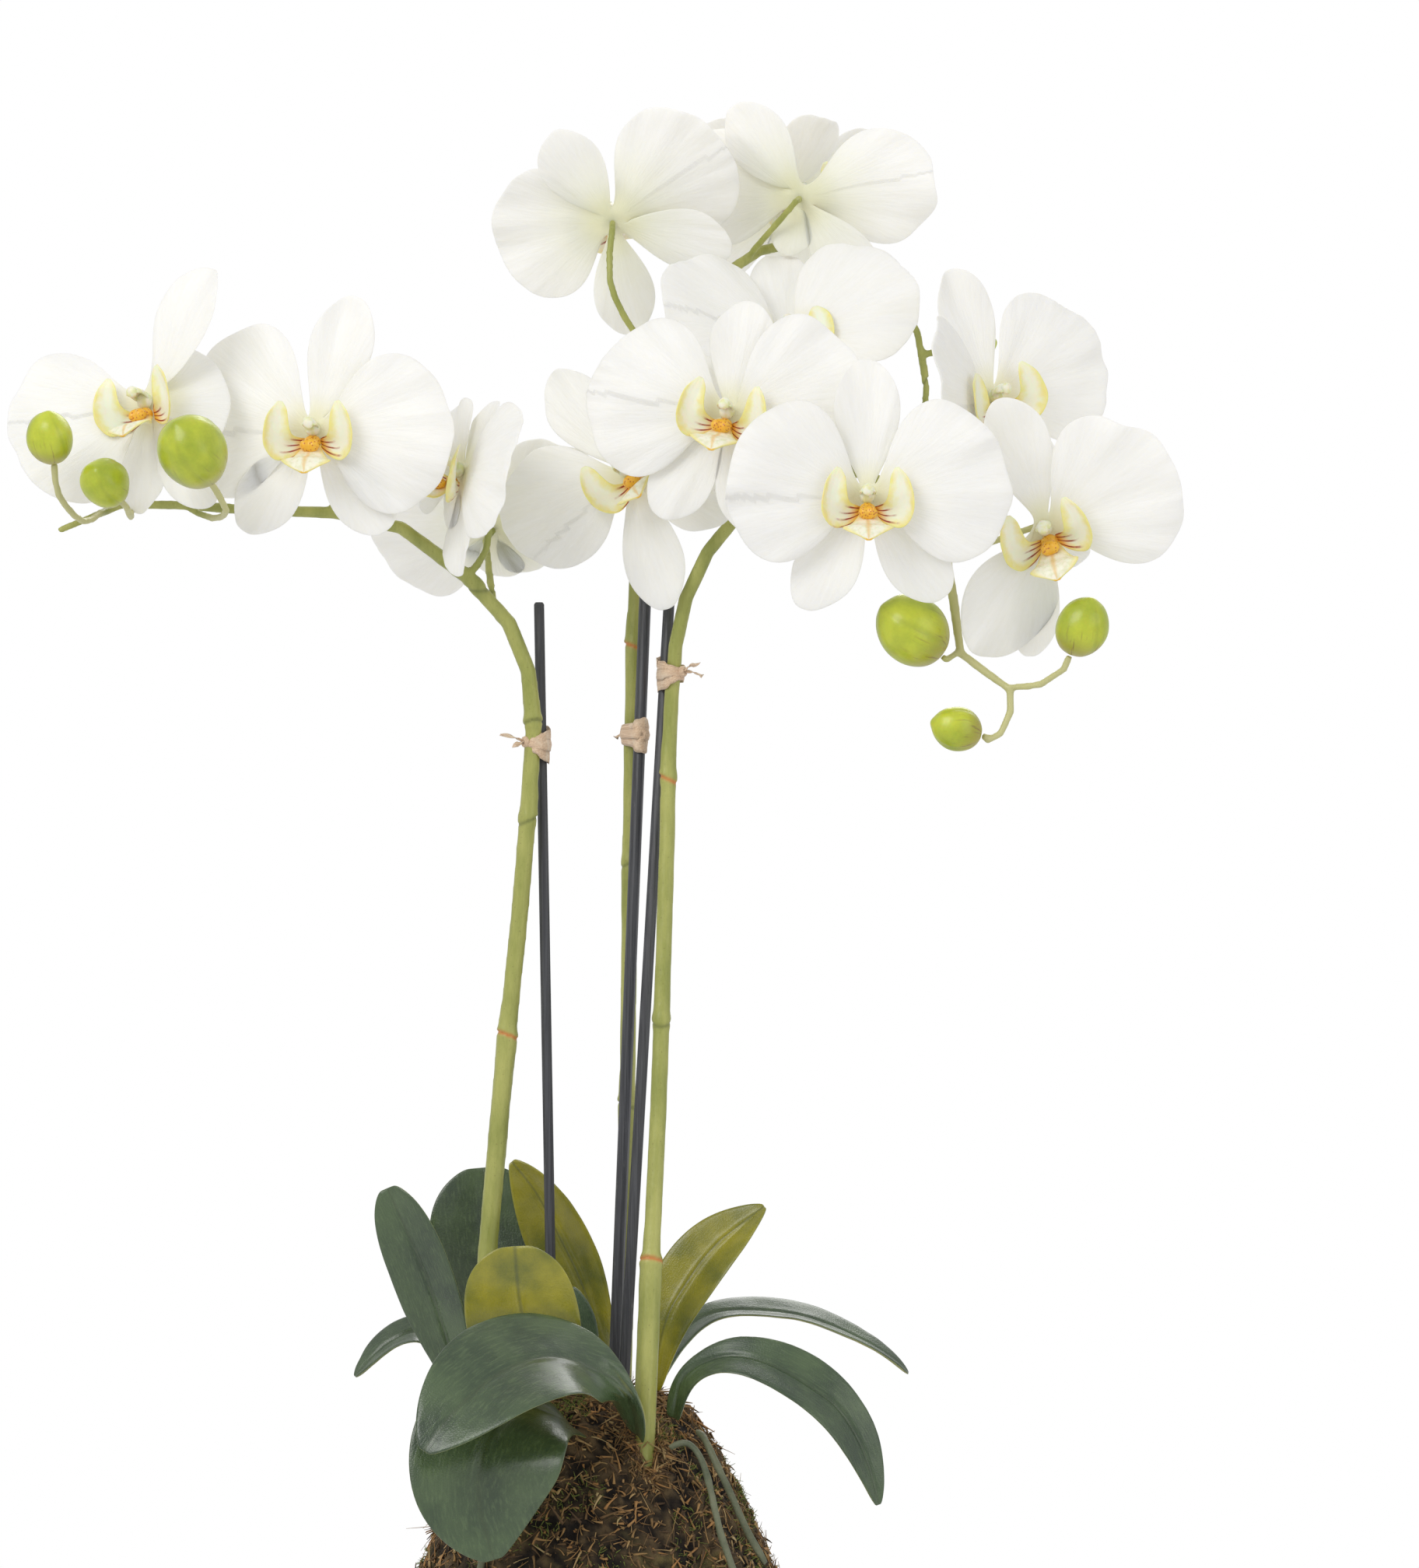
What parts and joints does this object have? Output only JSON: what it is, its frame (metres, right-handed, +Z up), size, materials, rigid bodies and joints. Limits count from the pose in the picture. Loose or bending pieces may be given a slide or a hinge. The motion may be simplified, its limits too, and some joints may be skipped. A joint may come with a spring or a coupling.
{
  "type": "potted orchid",
  "caption": "Moth orchid with white flowers and green buds on staked arching spikes, strap leaves and a moss ball in a plain round pot.",
  "frame": {"origin": "centre of the pot's flat base", "axes": "+Z up, -Y towards the front of the plant, +X to its right as seen from the front"},
  "size_m": [0.472, 0.2774, 0.7569],
  "materials": {
    "pot": "matt stoneware",
    "moss": "rough fibre",
    "root": "satin",
    "stake": "satin",
    "stem": "satin",
    "leaf": "satin, fine grain",
    "petal": "soft matt",
    "lip": "soft matt",
    "bud": "satin",
    "raffia": "dry fibre"
  },
  "bodies": {
    "root": {"bud_left_1": "bud", "bud_left_2": "bud", "bud_left_3": "bud", "bud_middle_1": "bud", "bud_middle_2": "bud", "bud_middle_3": "bud", "bud_right_1": "bud", "bud_right_2": "bud", "bud_right_3": "bud", "flower_left_1": "petal", "flower_left_2": "petal", "flower_left_3": "petal", "flower_left_4": "petal", "flower_middle_1": "petal", "flower_middle_2": "petal", "flower_middle_3": "petal", "flower_middle_4": "petal", "flower_middle_5": "petal", "flower_right_1": "petal", "flower_right_2": "petal", "flower_right_3": "petal", "flower_right_4": "petal", "leaf_01": "leaf", "leaf_02": "leaf", "leaf_03": "leaf", "leaf_04": "leaf", "leaf_05": "leaf", "leaf_06": "leaf", "leaf_07": "leaf", "leaf_08": "leaf", "leaf_09": "leaf", "leaf_10": "leaf", "leaf_11": "leaf", "lip_left_1": "lip", "lip_left_2": "lip", "lip_left_3": "lip", "lip_left_4": "lip", "lip_middle_1": "lip", "lip_middle_2": "lip", "lip_middle_3": "lip", "lip_middle_4": "lip", "lip_middle_5": "lip", "lip_right_1": "lip", "lip_right_2": "lip", "lip_right_3": "lip", "lip_right_4": "lip", "moss_ball": "moss", "pot": "pot", "root_1": "root", "root_2": "root", "root_3": "root", "spike_left": "stem", "spike_middle": "stem", "spike_right": "stem", "stake_left": "stake", "stake_middle": "stake", "stake_right": "stake", "tie_left": "raffia", "tie_middle": "raffia", "tie_right": "raffia"}
  },
  "joints": []
}
